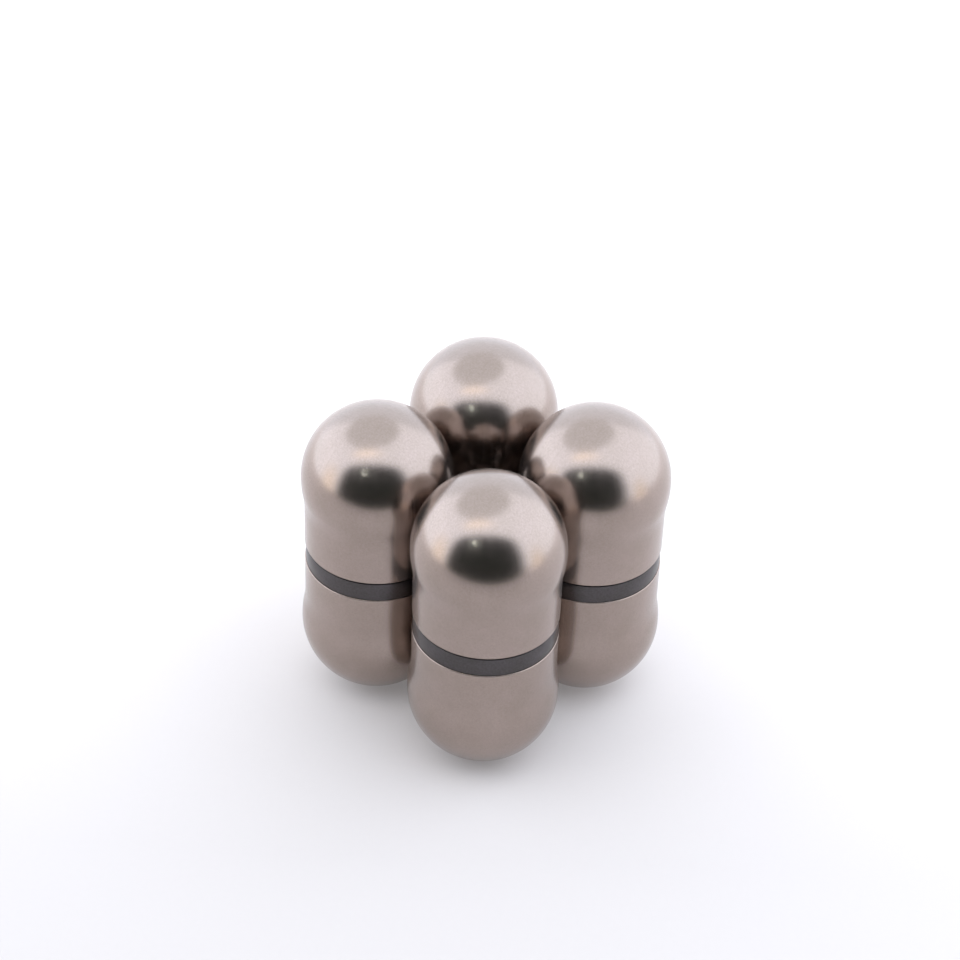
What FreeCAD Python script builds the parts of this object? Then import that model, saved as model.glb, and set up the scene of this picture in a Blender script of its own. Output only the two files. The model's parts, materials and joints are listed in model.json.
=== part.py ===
import FreeCAD, Part
import math
import os

# Magnetic desk sculpture: four upright capsule-shaped pods standing two by two.
# Millimetres, +Z up. The origin is on the desk, under the middle of the block.
# Each pod is drawn round its own Z axis with its middle height at zero, then moved to its place.

# ---- outside of a pod ----
BULGE_R = 12.5            # largest radius, at the two bulges
HALF_HEIGHT = 27.4        # middle to the pole of a dome
NECK_R = 11.94            # radius of the straight neck
NECK_HALF = 8.6           # the neck is straight to this height above and below the middle
BAND_HALF = 1.85          # half the height of the waist band's slot
BAND_R = 11.78            # the band sits a little below the neck
BAND_EDGE = 0.1           # chamfer on the band's edges
LIP_BEVEL = 0.16          # bevel on each shell's rim, beside the band
FOOT_R = 2.5              # small flat foot at the bottom pole
POD_GAP = 0.1             # daylight between neighbouring pods

# ---- joining sleeve and seals ----
SLEEVE_R = 9.58
SLEEVE_BORE_R = 8.4
SLEEVE_HALF = 8.2
SLEEVE_EDGE = 0.35
THREAD_START = 2.5        # first thread ring above the middle
THREAD_PITCH = 0.75
THREAD_RINGS = 4
THREAD_DEPTH = 0.28
SEAL_Z = 6.7              # height of a seal groove above and below the middle
SEAL_GROOVE_R = 8.78
SEAL_GROOVE_HALF = 0.5
SEAL_WIRE_R = 0.36
FIT = 0.02                # small gap between pieces that are fixed together

# ---- inside of a shell ----
THREAD_BORE_R = 9.6       # bore that takes the sleeve
THREAD_BORE_TOP = 8.5
CAVITY_R = 8.6            # room for the magnet to turn
CAVITY_TOP = 19.1
POCKET_R = 3.6            # seat of the bush
POCKET_TOP = 22.4

# ---- bush ----
BUSH_TOP = 21.9
BUSH_FLANGE_R = 4.8
BUSH_FLANGE = 0.6
BUSH_EDGE = 0.2

# ---- core: spindle, magnets, spacer, clips ----
SPINDLE_R = 1.5
RUN_CLEARANCE = 0.05      # spindle in bush, radial
SPINDLE_TOP = 21.5
SPINDLE_EDGE = 0.25
GROOVE_R = 1.1            # clip groove in the spindle
CLIP_Z = 17.6             # lower side of the upper clip groove
CLIP_GROOVE = 0.6
CLIP_R = 2.9
CLIP_THICK = 0.55
CLIP_OPENING = 1.9        # width of the clip's open side
MAGNET_R = 7.9
MAGNET_BOTTOM = 10.4
MAGNET_EDGE = 0.3
SPACER_R = 5.2
SPACER_EDGE = 0.2

# ---- places ----
PITCH = 2 * BULGE_R + POD_GAP
FOOT_SAG = BULGE_R - math.sqrt(BULGE_R ** 2 - FOOT_R ** 2)
MIDDLE_Z = HALF_HEIGHT - FOOT_SAG
PODS = {
    "front": (PITCH / 2, -PITCH / 2),
    "left": (-PITCH / 2, -PITCH / 2),
    "right": (PITCH / 2, PITCH / 2),
    "back": (-PITCH / 2, PITCH / 2),
}
UPRIGHT = FreeCAD.Rotation()
UPSIDE_DOWN = FreeCAD.Rotation(FreeCAD.Vector(1, 0, 0), 180)


def point(radius, height):
    """A point of a half section: radius from the pod's axis, height above its middle."""
    return FreeCAD.Vector(radius, 0, height)


def line(start, end):
    return Part.makeLine(point(*start), point(*end))


def arc(start, through, end):
    return Part.Arc(point(*start), point(*through), point(*end)).toShape()


def turned(edges):
    """The solid a closed half section sweeps in one turn round the pod's axis."""
    face = Part.Face(Part.Wire(edges))
    return face.revolve(FreeCAD.Vector(0, 0, 0), FreeCAD.Vector(0, 0, 1), 360)


def turned_polygon(corners):
    """A turned solid whose half section has straight sides."""
    edges = []
    for index, corner in enumerate(corners):
        edges.append(line(corners[index - 1], corner))
    return turned(edges)


def ring(outer_r, inner_r, bottom, top, edge):
    """A ring with its outer edges chamfered."""
    return turned_polygon([
        (inner_r, bottom),
        (outer_r - edge, bottom),
        (outer_r, bottom + edge),
        (outer_r, top - edge),
        (outer_r - edge, top),
        (inner_r, top),
    ])


def swell_edges():
    """The smooth step from the neck out to the bulge: two arcs that meet without a corner."""
    equator = HALF_HEIGHT - BULGE_R
    rise = equator - NECK_HALF
    step = BULGE_R - NECK_R
    radius = (rise ** 2 + step ** 2) / (4 * step)
    half_turn = math.asin(rise / 2 / radius) / 2
    across = radius * (1 - math.cos(half_turn))
    along = radius * math.sin(half_turn)
    meeting = (NECK_R + step / 2, NECK_HALF + rise / 2)
    hollow = arc((NECK_R, NECK_HALF), (NECK_R + across, NECK_HALF + along), meeting)
    swell = arc(meeting, (BULGE_R - across, equator - along), (BULGE_R, equator))
    return [hollow, swell]


def dome_edges(foot_r):
    """The dome from the bulge to the axis, ending in a flat of the given radius."""
    equator = HALF_HEIGHT - BULGE_R
    start_angle = math.acos(foot_r / BULGE_R)
    pole = equator + BULGE_R * math.sin(start_angle)
    middle = (BULGE_R * math.cos(start_angle / 2), equator + BULGE_R * math.sin(start_angle / 2))
    edges = [arc((BULGE_R, equator), middle, (foot_r, pole))]
    if foot_r > 0:
        edges.append(line((foot_r, pole), (0, pole)))
    return edges, pole


def shell(foot_r):
    """One half of a pod's case, dome up: domed outside, bored in three steps inside."""
    rim = BAND_HALF + FIT
    dome, pole = dome_edges(foot_r)
    outside = [
        line((THREAD_BORE_R, rim), (NECK_R - LIP_BEVEL, rim)),
        line((NECK_R - LIP_BEVEL, rim), (NECK_R, rim + LIP_BEVEL)),
        line((NECK_R, rim + LIP_BEVEL), (NECK_R, NECK_HALF)),
    ]
    inside = [
        line((0, pole), (0, POCKET_TOP)),
        line((0, POCKET_TOP), (POCKET_R, POCKET_TOP)),
        line((POCKET_R, POCKET_TOP), (POCKET_R, CAVITY_TOP)),
        line((POCKET_R, CAVITY_TOP), (CAVITY_R, CAVITY_TOP)),
        line((CAVITY_R, CAVITY_TOP), (CAVITY_R, THREAD_BORE_TOP)),
        line((CAVITY_R, THREAD_BORE_TOP), (THREAD_BORE_R, THREAD_BORE_TOP)),
        line((THREAD_BORE_R, THREAD_BORE_TOP), (THREAD_BORE_R, rim)),
    ]
    return turned(outside + swell_edges() + dome + inside)


def upper_shell():
    return shell(0)


def lower_shell():
    return flipped(shell(FOOT_R))


def waist_band():
    """The plain ring clamped between the two shells."""
    return ring(BAND_R, SLEEVE_R + FIT, -BAND_HALF, BAND_HALF, BAND_EDGE)


def sleeve():
    """The tube both shells screw onto, with its thread rings and seal grooves cut."""
    body = ring(SLEEVE_R, SLEEVE_BORE_R, -SLEEVE_HALF, SLEEVE_HALF, SLEEVE_EDGE)
    for side in (-1, 1):
        for turn in range(THREAD_RINGS):
            height = side * (THREAD_START + turn * THREAD_PITCH)
            half = THREAD_PITCH / 2
            notch = turned_polygon([
                (SLEEVE_R - THREAD_DEPTH, height),
                (SLEEVE_R + THREAD_DEPTH, height - half),
                (SLEEVE_R + THREAD_DEPTH, height + half),
            ])
            body = body.cut(notch)
        low = side * SEAL_Z - SEAL_GROOVE_HALF
        high = side * SEAL_Z + SEAL_GROOVE_HALF
        groove = ring(SLEEVE_R + 1, SEAL_GROOVE_R, low, high, 0.1)
        body = body.cut(groove)
    return body


def seal_rings():
    """Two round-section rubber rings in the sleeve's grooves."""
    centre_r = SEAL_GROOVE_R + FIT + SEAL_WIRE_R
    rings = []
    for height in (-SEAL_Z, SEAL_Z):
        rings.append(Part.makeTorus(centre_r, SEAL_WIRE_R, FreeCAD.Vector(0, 0, height)))
    return Part.makeCompound(rings)


def bush():
    """A flanged plain bearing, flange towards the middle of the pod."""
    outer_r = POCKET_R - FIT
    flange_top = CAVITY_TOP - FIT
    return turned_polygon([
        (SPINDLE_R + RUN_CLEARANCE, flange_top - BUSH_FLANGE),
        (BUSH_FLANGE_R, flange_top - BUSH_FLANGE),
        (BUSH_FLANGE_R, flange_top),
        (outer_r, flange_top),
        (outer_r, BUSH_TOP - BUSH_EDGE),
        (outer_r - BUSH_EDGE, BUSH_TOP),
        (SPINDLE_R + RUN_CLEARANCE, BUSH_TOP),
    ])


def spindle():
    """The turned pin that carries the magnets, with a clip groove near each end."""
    body = turned_polygon([
        (0, -SPINDLE_TOP),
        (SPINDLE_R - SPINDLE_EDGE, -SPINDLE_TOP),
        (SPINDLE_R, -SPINDLE_TOP + SPINDLE_EDGE),
        (SPINDLE_R, SPINDLE_TOP - SPINDLE_EDGE),
        (SPINDLE_R - SPINDLE_EDGE, SPINDLE_TOP),
        (0, SPINDLE_TOP),
    ])
    for low in (CLIP_Z, -CLIP_Z - CLIP_GROOVE):
        groove = turned_polygon([
            (GROOVE_R, low),
            (SPINDLE_R + 1, low),
            (SPINDLE_R + 1, low + CLIP_GROOVE),
            (GROOVE_R, low + CLIP_GROOVE),
        ])
        body = body.cut(groove)
    return body


def magnet():
    """A ring magnet, magnetised across its diameter, at the height of the upper bulge."""
    return ring(MAGNET_R, SPINDLE_R + FIT, MAGNET_BOTTOM, CLIP_Z, MAGNET_EDGE)


def spacer():
    """The tube that holds the two magnets apart."""
    half = MAGNET_BOTTOM - FIT
    return ring(SPACER_R, SPINDLE_R + FIT, -half, half, SPACER_EDGE)


def clips():
    """Two open spring rings that keep the magnets on the spindle."""
    play = (CLIP_GROOVE - CLIP_THICK) / 2
    base = ring(CLIP_R, GROOVE_R + FIT, CLIP_Z + play, CLIP_Z + play + CLIP_THICK, 0.08)
    reach = 2 * CLIP_R
    mouth = Part.makeBox(reach, CLIP_OPENING, 2, FreeCAD.Vector(0, -CLIP_OPENING / 2, CLIP_Z - 0.5))
    clip = base.cut(mouth)
    return Part.makeCompound([clip, flipped(clip)])


def flipped(shape):
    """The same piece turned upside down about the pod's middle."""
    turned_over = shape.copy()
    turned_over.Placement = FreeCAD.Placement(FreeCAD.Vector(), UPSIDE_DOWN).multiply(shape.Placement)
    return turned_over


def placed(shape, centre):
    """A copy of a piece moved from the pod's own axis to its place on the desk."""
    copy = shape.copy()
    move = FreeCAD.Placement(FreeCAD.Vector(centre[0], centre[1], MIDDLE_Z), UPRIGHT)
    copy.Placement = move.multiply(shape.Placement)
    return copy


def pod_pieces():
    """Every piece of one pod, round the pod's own axis."""
    return {
        "upper_shell": upper_shell(),
        "lower_shell": lower_shell(),
        "waist_band": waist_band(),
        "sleeve": sleeve(),
        "seal_rings": seal_rings(),
        "upper_bush": bush(),
        "lower_bush": flipped(bush()),
        "spindle": spindle(),
        "upper_magnet": magnet(),
        "lower_magnet": flipped(magnet()),
        "spacer": spacer(),
        "clips": clips(),
    }


os.makedirs("parts", exist_ok=True)
PIECES = pod_pieces()
for pod, centre in PODS.items():
    for name, shape in PIECES.items():
        placed(shape, centre).exportStep("parts/" + pod + "_" + name + ".step")
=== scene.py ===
"""Looks for the magnetic desk sculpture: four waisted metal pods standing two by two.

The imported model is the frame. The visible cases and bands are lathed again here with finer edges;
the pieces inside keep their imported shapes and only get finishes.
"""
import json
import logging
import math
from dataclasses import dataclass, field
from enum import Enum

import bmesh
import bpy
from mathutils import Matrix, Vector


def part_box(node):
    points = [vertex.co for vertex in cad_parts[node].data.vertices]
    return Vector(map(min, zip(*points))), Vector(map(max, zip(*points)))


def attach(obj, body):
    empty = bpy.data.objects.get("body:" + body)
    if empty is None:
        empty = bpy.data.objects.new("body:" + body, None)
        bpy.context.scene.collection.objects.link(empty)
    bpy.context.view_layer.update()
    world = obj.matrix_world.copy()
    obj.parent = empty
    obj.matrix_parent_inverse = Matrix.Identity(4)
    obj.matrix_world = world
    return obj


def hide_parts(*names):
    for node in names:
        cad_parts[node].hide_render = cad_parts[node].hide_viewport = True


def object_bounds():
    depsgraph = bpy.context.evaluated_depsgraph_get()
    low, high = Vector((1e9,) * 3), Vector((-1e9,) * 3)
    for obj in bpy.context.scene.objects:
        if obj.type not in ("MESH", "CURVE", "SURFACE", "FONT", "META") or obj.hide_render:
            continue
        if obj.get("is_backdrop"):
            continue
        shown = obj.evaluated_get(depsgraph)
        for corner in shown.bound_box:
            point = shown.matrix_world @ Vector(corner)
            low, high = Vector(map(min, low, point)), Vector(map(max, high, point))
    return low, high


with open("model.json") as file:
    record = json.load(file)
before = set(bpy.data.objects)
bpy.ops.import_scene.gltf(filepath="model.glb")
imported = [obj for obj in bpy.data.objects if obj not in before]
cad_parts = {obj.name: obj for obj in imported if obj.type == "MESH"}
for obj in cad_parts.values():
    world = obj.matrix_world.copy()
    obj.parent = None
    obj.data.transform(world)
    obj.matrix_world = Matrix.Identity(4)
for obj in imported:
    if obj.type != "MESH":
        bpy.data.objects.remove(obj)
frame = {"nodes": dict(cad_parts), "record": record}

LOG = logging.getLogger("desk_sculpture")
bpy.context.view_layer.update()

Outline = list[tuple[float, float]]
Colour = tuple[float, float, float]
Socket = bpy.types.NodeSocket

UP = Vector((0.0, 0.0, 1.0))
SHORT_SIDE_SHARE = 0.45  # most of a side that one rounded corner may take up
LIP_REACH = 4.0          # a lip's outline runs this many bevels up the neck


class PodName(Enum):
    """The four pods, by where each stands in the block."""

    FRONT = "front"
    LEFT = "left"
    RIGHT = "right"
    BACK = "back"


class Half(Enum):
    """Which half of a pod a shell is; the value is the way it points along Z."""

    UPPER = 1
    LOWER = -1


# --------------------------------------------------------------------------- shader helpers


class NodeSheet:
    """One material's node tree, with short calls for the nodes the finishes use."""

    def __init__(self, name: str) -> None:
        """Starts a material with nothing but its shader and output.

        Args:
            name: the material's name.
        """
        self.material = bpy.data.materials.new(name)
        self.material.use_nodes = True
        self.tree = self.material.node_tree
        self.tree.nodes.clear()
        self.output = self.tree.nodes.new("ShaderNodeOutputMaterial")
        self.shader = self.tree.nodes.new("ShaderNodeBsdfPrincipled")
        self.link(self.shader.outputs["BSDF"], self.output.inputs["Surface"])

    def link(self, source: Socket, target: Socket) -> None:
        """Joins two sockets."""
        self.tree.links.new(source, target)

    def place(self) -> Socket:
        """Returns the piece's own coordinates, in metres."""
        return self.tree.nodes.new("ShaderNodeTexCoord").outputs["Object"]

    def axes(self) -> dict[str, Socket]:
        """Splits the piece's own coordinates.

        Returns:
            The X, Y and Z values, by letter.
        """
        split = self.tree.nodes.new("ShaderNodeSeparateXYZ")
        self.link(self.place(), split.inputs["Vector"])
        return {letter: split.outputs[letter] for letter in "XYZ"}

    def joined(self, parts: dict[str, Socket]) -> Socket:
        """Makes a vector from separate values.

        Args:
            parts: the values by letter; a letter left out stays 0.

        Returns:
            The vector.
        """
        node = self.tree.nodes.new("ShaderNodeCombineXYZ")
        for letter, value in parts.items():
            self.link(value, node.inputs[letter])
        return node.outputs["Vector"]

    def scaled(self, vector: Socket, factor: float) -> Socket:
        """Multiplies a vector by a fixed factor.

        Args:
            vector: the vector.
            factor: the factor.

        Returns:
            The scaled vector.
        """
        node = self.tree.nodes.new("ShaderNodeVectorMath")
        node.operation = "SCALE"
        node.inputs["Scale"].default_value = factor
        self.link(vector, node.inputs[0])
        return node.outputs["Vector"]

    def stretched(self, scale: tuple[float, float, float]) -> Socket:
        """Scales the piece's own coordinates.

        Args:
            scale: factor along each axis.

        Returns:
            The scaled coordinates.
        """
        mapping = self.tree.nodes.new("ShaderNodeMapping")
        mapping.inputs["Scale"].default_value = scale
        self.link(self.place(), mapping.inputs["Vector"])
        return mapping.outputs["Vector"]

    def turned(self, along: float, around: float) -> Socket:
        """Coordinates that change quickly along the outline and slowly round the axis.

        Args:
            along: how quickly they change with height and radius.
            around: how quickly they change round the axis.

        Returns:
            The scaled direction round the axis plus the scaled radius and height.
        """
        axes = self.axes()
        flat = self.joined({"X": axes["X"], "Y": axes["Y"]})
        radius = self.tree.nodes.new("ShaderNodeVectorMath")
        radius.operation = "LENGTH"
        self.link(flat, radius.inputs[0])
        heading = self.tree.nodes.new("ShaderNodeVectorMath")
        heading.operation = "NORMALIZE"
        self.link(flat, heading.inputs[0])
        section = self.joined({"X": radius.outputs["Value"], "Z": axes["Z"]})
        total = self.tree.nodes.new("ShaderNodeVectorMath")
        total.operation = "ADD"
        self.link(self.scaled(heading.outputs["Vector"], around), total.inputs[0])
        self.link(self.scaled(section, along), total.inputs[1])
        return total.outputs["Vector"]

    def noise(self, where: Socket, scale: float, detail: float, rough: float = 0.5) -> Socket:
        """A noise value from 0 to 1.

        Args:
            where: coordinates.
            scale: cells per metre of the coordinates.
            detail: octaves.
            rough: weight of the finer octaves.

        Returns:
            The noise's value.
        """
        node = self.tree.nodes.new("ShaderNodeTexNoise")
        node.inputs["Scale"].default_value = scale
        node.inputs["Detail"].default_value = detail
        node.inputs["Roughness"].default_value = rough
        self.link(where, node.inputs["Vector"])
        return node.outputs["Fac"]

    def spread(
        self, value: Socket, read: tuple[float, float], given: tuple[float, float]
    ) -> Socket:
        """Maps a value from one range to another, clamped.

        Args:
            value: what to map.
            read: the range read.
            given: the results at the two ends of it.

        Returns:
            The mapped value.
        """
        node = self.tree.nodes.new("ShaderNodeMapRange")
        node.inputs["From Min"].default_value = read[0]
        node.inputs["From Max"].default_value = read[1]
        node.inputs["To Min"].default_value = given[0]
        node.inputs["To Max"].default_value = given[1]
        self.link(value, node.inputs["Value"])
        return node.outputs["Result"]

    def tones(
        self, value: Socket, stops: list[tuple[float, Colour]]
    ) -> Socket:
        """Colours a value through a ramp.

        Args:
            value: from 0 to 1.
            stops: position and colour of each stop.

        Returns:
            The colour.
        """
        node = self.tree.nodes.new("ShaderNodeValToRGB")
        ramp = node.color_ramp
        while len(ramp.elements) < len(stops):
            ramp.elements.new(0.5)
        for element, (position, colour) in zip(ramp.elements, stops):
            element.position = position
            element.color = (*colour, 1.0)
        self.link(value, node.inputs["Fac"])
        return node.outputs["Color"]

    def figured(
        self, operation: str, first: Socket, second: Socket | float
    ) -> Socket:
        """Works out one step of arithmetic.

        Args:
            operation: the Math node's operation.
            first: first value.
            second: second value, from a socket or fixed.

        Returns:
            The result.
        """
        node = self.tree.nodes.new("ShaderNodeMath")
        node.operation = operation
        self.link(first, node.inputs[0])
        if isinstance(second, float):
            node.inputs[1].default_value = second
        else:
            self.link(second, node.inputs[1])
        return node.outputs["Value"]

    def fading_glow(self, colour: Colour, glow: float, soft: float, squareness: int) -> None:
        """Makes a flat piece glow, fading out towards its edge.

        Args:
            colour: the glow's colour.
            glow: its strength.
            soft: share of the half width over which it fades.
            squareness: 2 for an oval, more for a squarer shape.
        """
        axes = self.axes()
        across = self.figured("POWER", axes["X"], float(squareness))
        upward = self.figured("POWER", axes["Y"], float(squareness))
        outward = self.figured("POWER", self.figured("ADD", across, upward), 1.0 / squareness)
        share = self.spread(outward, (1.0 - soft, 1.0), (1.0, 0.0))
        light = self.tree.nodes.new("ShaderNodeEmission")
        light.inputs["Color"].default_value = (*colour, 1.0)
        light.inputs["Strength"].default_value = glow
        clear = self.tree.nodes.new("ShaderNodeBsdfTransparent")
        mix = self.tree.nodes.new("ShaderNodeMixShader")
        self.link(share, mix.inputs["Fac"])
        self.link(clear.outputs["BSDF"], mix.inputs[1])
        self.link(light.outputs["Emission"], mix.inputs[2])
        self.link(mix.outputs["Shader"], self.output.inputs["Surface"])

    def bump(self, height: Socket, distance: float, strength: float) -> None:
        """Adds relief to the shader's normal, after any relief already there.

        Args:
            height: relief from 0 to 1.
            distance: depth of the relief, in metres.
            strength: from 0 to 1.
        """
        node = self.tree.nodes.new("ShaderNodeBump")
        node.inputs["Distance"].default_value = distance
        node.inputs["Strength"].default_value = strength
        self.link(height, node.inputs["Height"])
        socket = self.shader.inputs["Normal"]
        if socket.is_linked:
            self.link(socket.links[0].from_socket, node.inputs["Normal"])
        self.link(node.outputs["Normal"], socket)


def shade(colour: Colour, factor: float) -> Colour:
    """Returns a colour made darker or lighter by a factor."""
    return (colour[0] * factor, colour[1] * factor, colour[2] * factor)


# --------------------------------------------------------------------------- finishes


@dataclass(frozen=True)
class BlastedMetal:
    """Turned metal, finely bead blasted: the cases and, darker, the waist bands.

    The roughness stays on one side of about 0.274 all over a finish, because the renderer's
    denoiser treats the two sides differently and would draw a hairline where it crosses.
    """

    name: str
    colour: Colour
    roughness: float
    roughness_spread: float = 0.03
    tone_spread: float = 0.075
    warm_shift: float = 0.6
    blend_range: tuple[float, float] = (0.72, 1.28)
    uneven_range: tuple[float, float] = (0.5, 1.0)
    cloud_scale: float = 150.0
    cloud_detail: float = 4.0
    cloud_rough: float = 0.6
    cloud_share: float = 0.5
    speckle_scale: float = 3000.0
    speckle_detail: float = 3.0
    turning_along: float = 3200.0
    turning_around: float = 0.4
    turning_detail: float = 3.0
    turning_depth: float = 5.0e-7
    streak_along: float = 90.0
    streak_around: float = 40.0
    streak_detail: float = 2.0
    grain_depth: float = 7.0e-7
    coat: float = 0.0
    coat_roughness: float = 0.4

    def make(self) -> bpy.types.Material:
        """Builds the material.

        Returns:
            The finished material.
        """
        sheet = NodeSheet(self.name)
        here = sheet.place()
        clouds = sheet.noise(here, self.cloud_scale, self.cloud_detail, self.cloud_rough)
        speckle = sheet.noise(here, self.speckle_scale, self.speckle_detail)
        turning = sheet.turned(self.turning_along, self.turning_around)
        rings = sheet.noise(turning, 1.0, self.turning_detail)
        streaking = sheet.turned(self.streak_along, self.streak_around)
        streaks = sheet.noise(streaking, 1.0, self.streak_detail)
        blend = sheet.spread(sheet.figured("ADD", clouds, speckle), self.blend_range, (0.0, 1.0))
        tones = sheet.tones(blend, [(0.0, self._darker()), (1.0, self._lighter())])
        sheet.link(tones, sheet.shader.inputs["Base Color"])
        faint_clouds = sheet.figured("MULTIPLY", clouds, self.cloud_share)
        uneven = sheet.figured("ADD", streaks, faint_clouds)
        limits = (self.roughness - self.roughness_spread, self.roughness + self.roughness_spread)
        rough = sheet.spread(uneven, self.uneven_range, limits)
        sheet.link(rough, sheet.shader.inputs["Roughness"])
        sheet.shader.inputs["Metallic"].default_value = 1.0
        sheet.shader.inputs["Coat Weight"].default_value = self.coat
        sheet.shader.inputs["Coat Roughness"].default_value = self.coat_roughness
        sheet.bump(rings, self.turning_depth, 1.0)
        sheet.bump(speckle, self.grain_depth, 1.0)
        return sheet.material

    def _darker(self) -> Colour:
        """The tone of the darker patches, a little warmer than the rest.

        Returns:
            The colour.
        """
        red, green, blue = shade(self.colour, 1.0 - self.tone_spread)
        return (red, green, blue * (1.0 - self.tone_spread * self.warm_shift))

    def _lighter(self) -> Colour:
        """Returns the tone of the lighter patches."""
        return shade(self.colour, 1.0 + self.tone_spread)


@dataclass(frozen=True)
class PlainPart:
    """A finish for a piece inside a pod: metal, plastic or rubber with a light grain."""

    name: str
    colour: Colour
    roughness: float
    metallic: float
    tone_factors: tuple[float, float] = (0.92, 1.06)
    roughness_offsets: tuple[float, float] = (-0.04, 0.06)
    noise_range: tuple[float, float] = (0.3, 0.7)
    cloud_scale: float = 700.0
    cloud_detail: float = 4.0
    grain_scale: float = 4000.0
    grain_detail: float = 2.0
    grain_stretch: float = 6.0
    grain_depth: float = 2.0e-6
    grain_strength: float = 0.6

    def make(self) -> bpy.types.Material:
        """Builds the material.

        Returns:
            The finished material.
        """
        sheet = NodeSheet(self.name)
        clouds = sheet.noise(sheet.place(), self.cloud_scale, self.cloud_detail)
        tones = [
            (position, shade(self.colour, factor))
            for position, factor in zip(self.noise_range, self.tone_factors)
        ]
        sheet.link(sheet.tones(clouds, tones), sheet.shader.inputs["Base Color"])
        lines = sheet.stretched((1.0, 1.0, self.grain_stretch))
        grain = sheet.noise(lines, self.grain_scale, self.grain_detail)
        smoothest, roughest = (self.roughness + offset for offset in self.roughness_offsets)
        rough = sheet.spread(grain, self.noise_range, (smoothest, roughest))
        sheet.link(rough, sheet.shader.inputs["Roughness"])
        sheet.shader.inputs["Metallic"].default_value = self.metallic
        sheet.bump(grain, self.grain_depth, self.grain_strength)
        return sheet.material


CASE_METAL = BlastedMetal("case_grey_metal", (0.34, 0.277, 0.25), 0.235, coat=0.25)
BAND_METAL = BlastedMetal("band_dark_metal", (0.085, 0.078, 0.082), 0.32, tone_spread=0.14)
INNER_FINISHES: dict[str, PlainPart] = {
    "sleeve": PlainPart("sleeve_brass", (0.72, 0.52, 0.24), 0.3, 1.0),
    "seal": PlainPart("seal_rubber", (0.02, 0.02, 0.02), 0.7, 0.0),
    "bush": PlainPart("bush_plastic", (0.75, 0.73, 0.66), 0.5, 0.0),
    "spindle": PlainPart("spindle_steel", (0.55, 0.55, 0.56), 0.22, 1.0),
    "magnet": PlainPart("magnet_nickel", (0.66, 0.62, 0.56), 0.16, 1.0),
    "spacer": PlainPart("spacer_aluminium", (0.75, 0.75, 0.77), 0.32, 1.0),
    "clip": PlainPart("clip_black_steel", (0.09, 0.09, 0.1), 0.35, 1.0),
}


# --------------------------------------------------------------------------- lathe


@dataclass
class Lathe:
    """Turns closed half outlines into smooth solids."""

    segments: int = 144

    def turn(self, name: str, outline: Outline, centre: Vector) -> bpy.types.Object:
        """Spins a closed outline round Z.

        Args:
            name: name of the new piece.
            outline: (radius, height) points in order; points on the axis have radius 0.
            centre: where the piece's own origin stands.

        Returns:
            The new piece.
        """
        work = bmesh.new()
        rings = [self._ring(work, radius, height) for radius, height in outline]
        for index, ring in enumerate(rings):
            self._bridge(work, rings[index - 1], ring)
        bmesh.ops.recalc_face_normals(work, faces=work.faces)
        mesh = bpy.data.meshes.new(name)
        work.to_mesh(mesh)
        work.free()
        mesh.shade_smooth()
        piece = bpy.data.objects.new(name, mesh)
        piece.location = centre
        bpy.context.scene.collection.objects.link(piece)
        return piece

    def _ring(
        self, work: bmesh.types.BMesh, radius: float, height: float
    ) -> list[bmesh.types.BMVert]:
        """Adds one ring of vertices, or a single one on the axis.

        Args:
            work: mesh being built.
            radius: ring's radius.
            height: ring's height.

        Returns:
            The ring's vertices.
        """
        if radius <= 0.0:
            return [work.verts.new((0.0, 0.0, height))]
        angles = [index * (math.tau / self.segments) for index in range(self.segments)]
        return [
            work.verts.new((radius * math.cos(angle), radius * math.sin(angle), height))
            for angle in angles
        ]

    def _bridge(
        self,
        work: bmesh.types.BMesh,
        below: list[bmesh.types.BMVert],
        above: list[bmesh.types.BMVert],
    ) -> None:
        """Fills the skin between two rings.

        Args:
            work: mesh being built.
            below: one ring.
            above: the next ring.
        """
        if len(below) == 1 and len(above) == 1:
            return
        for index in range(self.segments):
            following = (index + 1) % self.segments
            corners = [below[index % len(below)], below[following % len(below)]]
            corners += [above[following % len(above)], above[index % len(above)]]
            work.faces.new(list(dict.fromkeys(corners)))


def arc_points(
    centre: tuple[float, float], radius: float, start: float, end: float, steps: int
) -> Outline:
    """Points along an arc of an outline.

    Args:
        centre: the arc's centre, as (radius, height).
        radius: the arc's radius.
        start: first angle, from the outward direction, in radians.
        end: last angle.
        steps: number of spans.

    Returns:
        The points, both ends included.
    """
    points = []
    for index in range(steps + 1):
        angle = start + (end - start) * index / steps
        points.append((centre[0] + radius * math.cos(angle), centre[1] + radius * math.sin(angle)))
    return points


def rounded(corners: Outline, radius: float, steps: int = 3) -> Outline:
    """Rounds every corner of an open outline except its ends.

    Args:
        corners: the outline's corners.
        radius: corner radius, cut down where a side is short.
        steps: spans in each round.

    Returns:
        The outline with rounded corners.
    """
    points: Outline = [corners[0]]
    for before, corner, after in zip(corners, corners[1:], corners[2:]):
        here = Vector(corner)
        to_before = Vector(before) - here
        to_after = Vector(after) - here
        shorter = min(to_before.length, to_after.length)
        reach = min(radius, shorter * SHORT_SIDE_SHARE)
        start = here + to_before.normalized() * reach
        end = here + to_after.normalized() * reach
        for index in range(steps + 1):
            share = index / steps
            spot = start.lerp(here, share).lerp(here.lerp(end, share), share)
            points.append((spot.x, spot.y))
    points.append(corners[-1])
    return points


# --------------------------------------------------------------------------- pods


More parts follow.
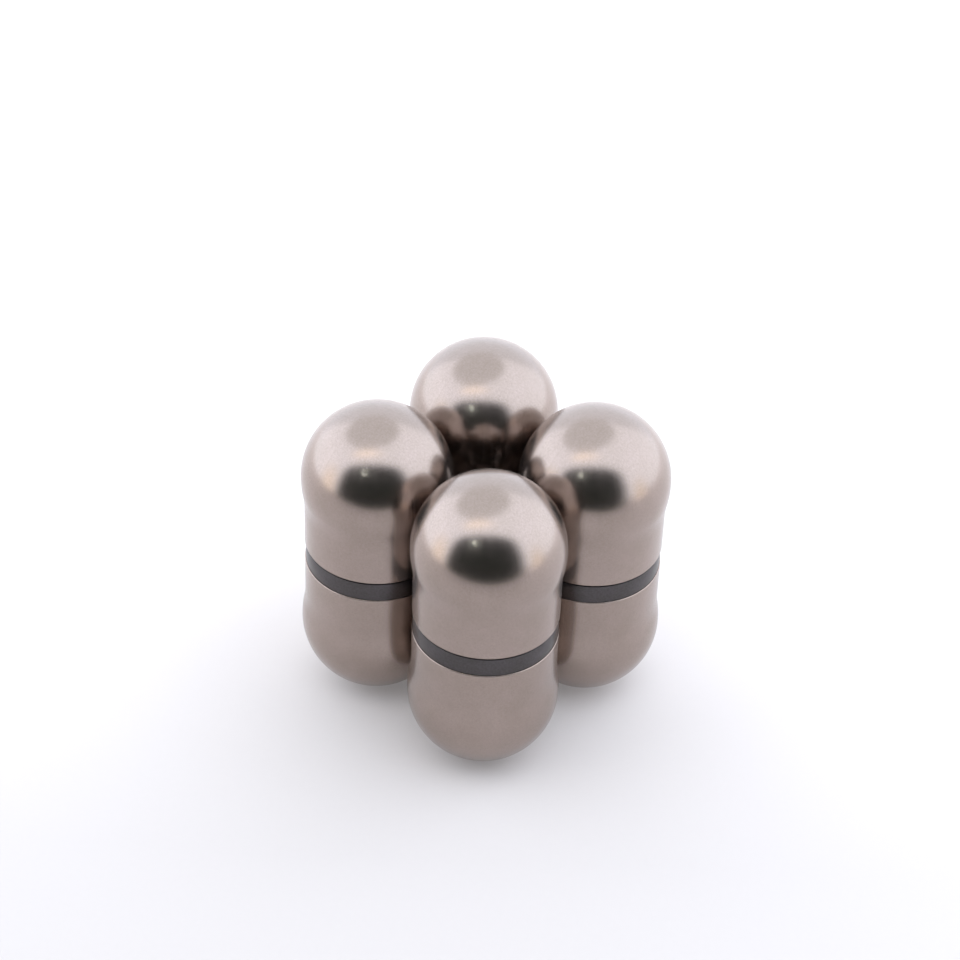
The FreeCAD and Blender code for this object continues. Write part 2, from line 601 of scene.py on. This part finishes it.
@dataclass
class PodSizes:
    """Sizes of one pod, in metres; heights are from its middle."""

    bulge_r: float = 0.0125
    half_height: float = 0.0274
    neck_r: float = 0.01194
    neck_half: float = 0.0086
    band_half: float = 0.00185
    band_r: float = 0.01178
    upper_lip: float = 0.00004
    lower_lip: float = 0.00008
    groove_depth: float = 0.00034
    groove_height: float = 0.00034
    band_edge: float = 0.00006
    foot_r: float = 0.0025
    fit: float = 0.00002
    sleeve_r: float = 0.00958
    thread_bore_r: float = 0.0096
    thread_bore_top: float = 0.0085
    cavity_r: float = 0.0086
    cavity_top: float = 0.0191
    pocket_r: float = 0.0036
    pocket_top: float = 0.0224
    edge_round: float = 0.00003
    dome_steps: int = 40
    swell_steps: int = 10

    def swell(self) -> Outline:
        """Two tangent arcs from the neck out to the bulge.

        Returns:
            The points from the neck up to the bulge.
        """
        equator = self.half_height - self.bulge_r
        rise = equator - self.neck_half
        step = self.bulge_r - self.neck_r
        radius = (rise ** 2 + step ** 2) / (4 * step)
        turn = math.asin(rise / 2 / radius)
        hollow_centre = (self.neck_r + radius, self.neck_half)
        swell_centre = (self.bulge_r - radius, equator)
        hollow = arc_points(hollow_centre, radius, math.pi, math.pi - turn, self.swell_steps)
        swell = arc_points(swell_centre, radius, -turn, 0.0, self.swell_steps)
        return hollow + swell[1:]

    def dome(self, foot_r: float) -> Outline:
        """The dome from the bulge to the axis, with a flat of the given radius.

        Args:
            foot_r: radius of the flat, 0 for none.

        Returns:
            The points after the bulge's widest ring.
        """
        equator = self.half_height - self.bulge_r
        last = math.acos(foot_r / self.bulge_r)
        points = arc_points((0.0, equator), self.bulge_r, 0.0, last, self.dome_steps)[1:]
        if foot_r > 0.0:
            return points + [(0.0, points[-1][1])]
        points[-1] = (0.0, points[-1][1])
        return points

    def shell(self, foot_r: float, lip_bevel: float) -> Outline:
        """Half section of a case half, dome up.

        Args:
            foot_r: radius of the flat at the pole.
            lip_bevel: bevel of the lip beside the band.

        Returns:
            The closed outline.
        """
        rim = self.band_half + self.fit
        lip = rounded(
            [
                (self.thread_bore_r, rim),
                (self.neck_r - lip_bevel, rim),
                (self.neck_r, rim + lip_bevel),
                (self.neck_r, rim + lip_bevel * LIP_REACH),
            ],
            self.edge_round,
        )
        inside = [
            (0.0, self.pocket_top),
            (self.pocket_r, self.pocket_top),
            (self.pocket_r, self.cavity_top),
            (self.cavity_r, self.cavity_top),
            (self.cavity_r, self.thread_bore_top),
            (self.thread_bore_r, self.thread_bore_top),
        ]
        return lip + self.swell() + self.dome(foot_r) + inside

    def band(self) -> Outline:
        """Half section of the waist band.

        Returns:
            The closed outline.
        """
        inner = self.sleeve_r + self.fit
        groove_r = self.band_r - self.groove_depth
        ledge = self.band_half - self.groove_height
        return rounded(
            [
                (inner, -self.band_half),
                (self.band_r - self.band_edge, -self.band_half),
                (self.band_r, -self.band_half + self.band_edge),
                (self.band_r, ledge),
                (groove_r, ledge),
                (groove_r, self.band_half),
                (inner, self.band_half),
            ],
            self.edge_round,
        )


@dataclass
class Pod:
    """One pod: its case halves, its band and the pieces inside."""

    name: PodName
    lathe: Lathe
    case: bpy.types.Material
    band: bpy.types.Material
    inner: dict[str, bpy.types.Material]
    sizes: PodSizes = field(default_factory=PodSizes)

    def node(self, piece: str) -> str:
        """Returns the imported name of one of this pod's pieces."""
        return f"{self.name.value}_{piece}"

    def centre(self) -> Vector:
        """The pod's middle, from its band's packed place.

        Returns:
            The middle, in metres.
        """
        low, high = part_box(self.node("waist_band"))
        return (low + high) / 2

    def build(self) -> list[bpy.types.Object]:
        """Makes the pieces that are seen.

        Returns:
            The new pieces.
        """
        return [self._shell(Half.UPPER), self._shell(Half.LOWER), self._band()]

    def dress(self) -> int:
        """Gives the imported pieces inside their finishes.

        Returns:
            How many pieces were dressed.
        """
        slots = {row["node"]: row["material_slot"] for row in frame["record"]["subparts"]}
        count = 0
        for node, slot in slots.items():
            if node.startswith(self.name.value + "_") and slot in self.inner:
                mesh = frame["nodes"][node].data
                mesh.materials.clear()
                mesh.materials.append(self.inner[slot])
                count += 1
        return count

    def _shell(self, half: Half) -> bpy.types.Object:
        """Turns one half of the case.

        Args:
            half: upper or lower.

        Returns:
            The new piece.
        """
        sizes = self.sizes
        lower = half is Half.LOWER
        foot_r = sizes.foot_r if lower else 0.0
        lip = sizes.lower_lip if lower else sizes.upper_lip
        section = sizes.shell(foot_r, lip)
        outline = [(radius, height * half.value) for radius, height in section]
        word = half.name.lower()
        piece = self.lathe.turn(f"{self.name.value}_case_{word}", outline, self.centre())
        return self._finish(piece, self.case, self.node(f"{word}_shell"))

    def _band(self) -> bpy.types.Object:
        """Turns the waist band.

        Returns:
            The new piece.
        """
        piece = self.lathe.turn(f"{self.name.value}_band_ring", self.sizes.band(), self.centre())
        return self._finish(piece, self.band, self.node("waist_band"))

    def _finish(
        self, piece: bpy.types.Object, material: bpy.types.Material, node: str
    ) -> bpy.types.Object:
        """Dresses a new piece and ties it to the frame.

        Args:
            piece: the new piece.
            material: its finish.
            node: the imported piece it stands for.

        Returns:
            The same piece.
        """
        piece.data.materials.append(material)
        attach(piece, f"shell_{self.name.value}")
        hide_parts(node)
        return piece


# --------------------------------------------------------------------------- stage


@dataclass
class Card:
    """A flat soft-edged card of the studio, mirrored in the metal and never seen itself.

    Its side and rise are half its width and half its height, as vectors. It fades over the soft
    share of them, and its outline is an oval at squareness 2 and squarer above that.
    """

    name: str
    middle: Vector
    side: Vector
    rise: Vector
    colour: Colour
    glow: float
    soft: float
    squareness: int

    def build(self) -> bpy.types.Object:
        """Makes the card.

        Returns:
            The card.
        """
        mesh = bpy.data.meshes.new(self.name)
        corners = [(-1.0, -1.0, 0.0), (1.0, -1.0, 0.0), (1.0, 1.0, 0.0), (-1.0, 1.0, 0.0)]
        mesh.from_pydata(corners, [], [(0, 1, 2, 3)])
        card = bpy.data.objects.new(self.name, mesh)
        bpy.context.scene.collection.objects.link(card)
        facing = self.side.cross(self.rise).normalized()
        turn = Matrix((self.side, self.rise, facing)).transposed().to_4x4()
        card.matrix_world = Matrix.Translation(self.middle) @ turn
        sheet = NodeSheet(self.name)
        sheet.fading_glow(self.colour, self.glow, self.soft, self.squareness)
        mesh.materials.append(sheet.material)
        card.visible_camera = False
        card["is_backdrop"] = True
        return card


@dataclass
class Studio:
    """White tent, pale floor and camera.

    The tent's own directions are across (to the camera's right), away (from the camera) and up.
    Angles are in degrees, the lens and sensor in millimetres and other lengths in metres.
    """

    azimuth: float = 42.12
    elevation: float = 40.3
    distance: float = 0.4375
    lens: float = 98.4
    roll: float = 2.45
    aim_side: float = 0.074
    aim_down: float = 1.437
    sensor: float = 36.0
    sky: Colour = (1.0, 1.075, 1.19)
    sky_strength: float = 2.08
    floor_tone: Colour = (0.65, 0.611, 0.597)
    # floor_light and the floor_glow values below are painted light: the floor itself glows
    floor_light: Colour = (0.64, 0.63, 0.645)
    floor_reach: float = 4.0
    floor_tone_spread: float = 0.01
    floor_grain_scale: float = 900.0
    floor_grain_detail: float = 3.0
    floor_roughness: float = 0.9
    floor_specular: float = 0.1
    # painted light: the floor's glow, weak near the camera and strong further away, over this span
    # of Y
    floor_glow_near: float = 0.11
    floor_glow_far: float = 0.65
    floor_glow_span: tuple[float, float] = (-0.045, 0.145)
    warm: Colour = (1.0, 0.95, 0.88)
    cool: Colour = (1.0, 1.05, 1.12)
    dark: Colour = (0.85, 1.0, 0.95)
    clip_start: float = 0.01
    clip_end: float = 20.0

    def heading(self) -> Vector:
        """Returns the flat direction from the block towards the camera."""
        angle = math.radians(self.azimuth)
        return Vector((math.sin(angle), -math.cos(angle), 0.0))

    def spot(self, across: float, away: float, height: float) -> Vector:
        """Turns a place in the tent's own directions into the frame's.

        Args:
            across: distance to the camera's right.
            away: distance away from the camera.
            height: distance above the floor.

        Returns:
            The place in the frame.
        """
        heading = self.heading()
        right = Vector((-heading.y, heading.x, 0.0))
        return right * across - heading * away + UP * height

    def build(self) -> list[bpy.types.Object]:
        """Makes everything of the studio.

        Returns:
            The studio's objects.
        """
        return [self._floor(), *[card.build() for card in self._cards()], self._camera()]

    def light(self) -> None:
        """Sets the tent's even white glow."""
        world = bpy.data.worlds.new("tent")
        world.use_nodes = True
        background = world.node_tree.nodes["Background"]
        background.inputs["Color"].default_value = (*self.sky, 1.0)
        background.inputs["Strength"].default_value = self.sky_strength
        bpy.context.scene.world = world
        bpy.context.scene.view_settings.view_transform = "Standard"

    def _floor(self) -> bpy.types.Object:
        """Makes the pale floor under the pods, turned so that its Y runs away from the camera.

        Returns:
            The floor.
        """
        low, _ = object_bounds()
        reach = self.floor_reach
        mesh = bpy.data.meshes.new("floor")
        corners = [(-reach, -reach), (reach, -reach), (reach, reach), (-reach, reach)]
        mesh.from_pydata([(x, y, 0.0) for x, y in corners], [], [(0, 1, 2, 3)])
        floor = bpy.data.objects.new("floor", mesh)
        turn = Matrix.Rotation(math.radians(self.azimuth), 4, "Z")
        floor.matrix_world = Matrix.Translation((0.0, 0.0, low.z)) @ turn
        bpy.context.scene.collection.objects.link(floor)
        mesh.materials.append(self._floor_paper_glow())
        floor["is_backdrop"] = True
        return floor

    def _floor_paper_glow(self) -> bpy.types.Material:
        """Makes the floor's paper with a painted glow that grows away from the camera.

        Returns:
            The material.
        """
        sheet = NodeSheet("floor_paper_glow")
        grain = sheet.noise(sheet.place(), self.floor_grain_scale, self.floor_grain_detail)
        tones = [
            (0.0, shade(self.floor_tone, 1.0 - self.floor_tone_spread)),
            (1.0, shade(self.floor_tone, 1.0 + self.floor_tone_spread)),
        ]
        sheet.link(sheet.tones(grain, tones), sheet.shader.inputs["Base Color"])
        sheet.shader.inputs["Roughness"].default_value = self.floor_roughness
        sheet.shader.inputs["Specular IOR Level"].default_value = self.floor_specular
        # painted light: the paper glows, more strongly further from the camera
        sheet.shader.inputs["Emission Color"].default_value = (*self.floor_light, 1.0)
        glows = (self.floor_glow_near, self.floor_glow_far)
        glow = sheet.spread(sheet.axes()["Y"], self.floor_glow_span, glows)
        sheet.link(glow, sheet.shader.inputs["Emission Strength"])
        return sheet.material

    def _cards(self) -> list[Card]:
        """The tent's features that the metal mirrors.

        Returns:
            The dark opening, the ceiling flap, the back and side walls, and the lamps.
        """
        across = self.spot(1.0, 0.0, 0.0)
        away = self.spot(0.0, 1.0, 0.0)
        return [
            Card(
                name="front_opening",
                middle=self.spot(across=-0.048, away=-0.2, height=0.146),
                side=across * 0.342,
                rise=UP * 0.209,
                colour=self.dark,
                glow=0.05,
                soft=0.38,
                squareness=4,
            ),
            Card(
                name="ceiling_flap",
                middle=self.spot(across=-0.1, away=0.2, height=0.442),
                side=across * 0.29,
                rise=away * 0.3,
                colour=self.cool,
                glow=1.37,
                soft=0.08,
                squareness=2,
            ),
            Card(
                name="back_wall",
                middle=self.spot(across=0.0, away=0.5, height=0.2),
                side=across * 0.5,
                rise=UP * 0.45,
                colour=self.sky,
                glow=1.56,
                soft=0.3,
                squareness=4,
            ),
            Card(
                name="left_wall",
                middle=self.spot(across=-0.52, away=0.2, height=0.1),
                side=away * 0.4,
                rise=UP * 0.35,
                colour=self.sky,
                glow=2.25,
                soft=0.5,
                squareness=4,
            ),
            Card(
                name="right_wall",
                middle=self.spot(across=0.52, away=0.25, height=0.1),
                side=away * 0.4,
                rise=UP * 0.35,
                colour=self.sky,
                glow=2.15,
                soft=0.5,
                squareness=4,
            ),
            Card(
                name="front_lamp",
                middle=self.spot(across=-0.13, away=-0.13, height=0.42),
                side=across * 0.22,
                rise=away * 0.06,
                colour=self.warm,
                glow=2.9,
                soft=0.8,
                squareness=2,
            ),
            Card(
                name="left_lamp",
                middle=self.spot(across=-0.4, away=-0.12, height=0.06),
                side=away * 0.13,
                rise=UP * 0.2,
                colour=self.warm,
                glow=2.3,
                soft=0.8,
                squareness=2,
            ),
            Card(
                name="right_lamp",
                middle=self.spot(across=0.32, away=-0.13, height=0.03),
                side=away * 0.1,
                rise=UP * 0.15,
                colour=self.warm,
                glow=1.9,
                soft=0.8,
                squareness=2,
            ),
            Card(
                name="small_lamp",
                middle=self.spot(across=-0.095, away=-0.197, height=0.222),
                side=across * 0.006,
                rise=UP * 0.006,
                colour=self.dark,
                glow=60.0,
                soft=0.3,
                squareness=2,
            ),
        ]

    def _camera(self) -> bpy.types.Object:
        """Makes the camera and makes it the scene's own.

        Returns:
            The camera.
        """
        low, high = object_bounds()
        target = (low + high) / 2
        lift = math.radians(self.elevation)
        back = self.heading() * math.cos(lift) + UP * math.sin(lift)
        right = UP.cross(back).normalized()
        up = back.cross(right)
        basis = Matrix((right, up, back)).transposed()
        swing = Matrix.Rotation(math.radians(self.aim_side), 3, up)
        nod = Matrix.Rotation(math.radians(self.aim_down), 3, right)
        lean = Matrix.Rotation(math.radians(self.roll), 3, back)
        data = bpy.data.cameras.new("camera")
        data.sensor_width = self.sensor
        data.lens = self.lens
        data.clip_start = self.clip_start
        data.clip_end = self.clip_end
        camera = bpy.data.objects.new("camera", data)
        turn = (lean @ nod @ swing @ basis).to_4x4()
        camera.matrix_world = Matrix.Translation(target + back * self.distance) @ turn
        bpy.context.scene.collection.objects.link(camera)
        bpy.context.scene.camera = camera
        return camera


# --------------------------------------------------------------------------- main


def main() -> None:
    """Builds the pods and the studio, and reports each piece."""
    logging.basicConfig(level=logging.INFO, format="%(name)s: %(message)s")
    lathe = Lathe()
    case = CASE_METAL.make()
    band = BAND_METAL.make()
    inner = {slot: finish.make() for slot, finish in INNER_FINISHES.items()}
    for name in PodName:
        pod = Pod(name, lathe, case, band, inner)
        for piece in pod.build():
            LOG.info("made %s with %d faces", piece.name, len(piece.data.polygons))
        LOG.info("dressed %d pieces inside the %s pod", pod.dress(), name.value)
    studio = Studio()
    studio.light()
    for thing in studio.build():
        LOG.info("placed %s", thing.name)


if __name__ == "__main__":
    main()
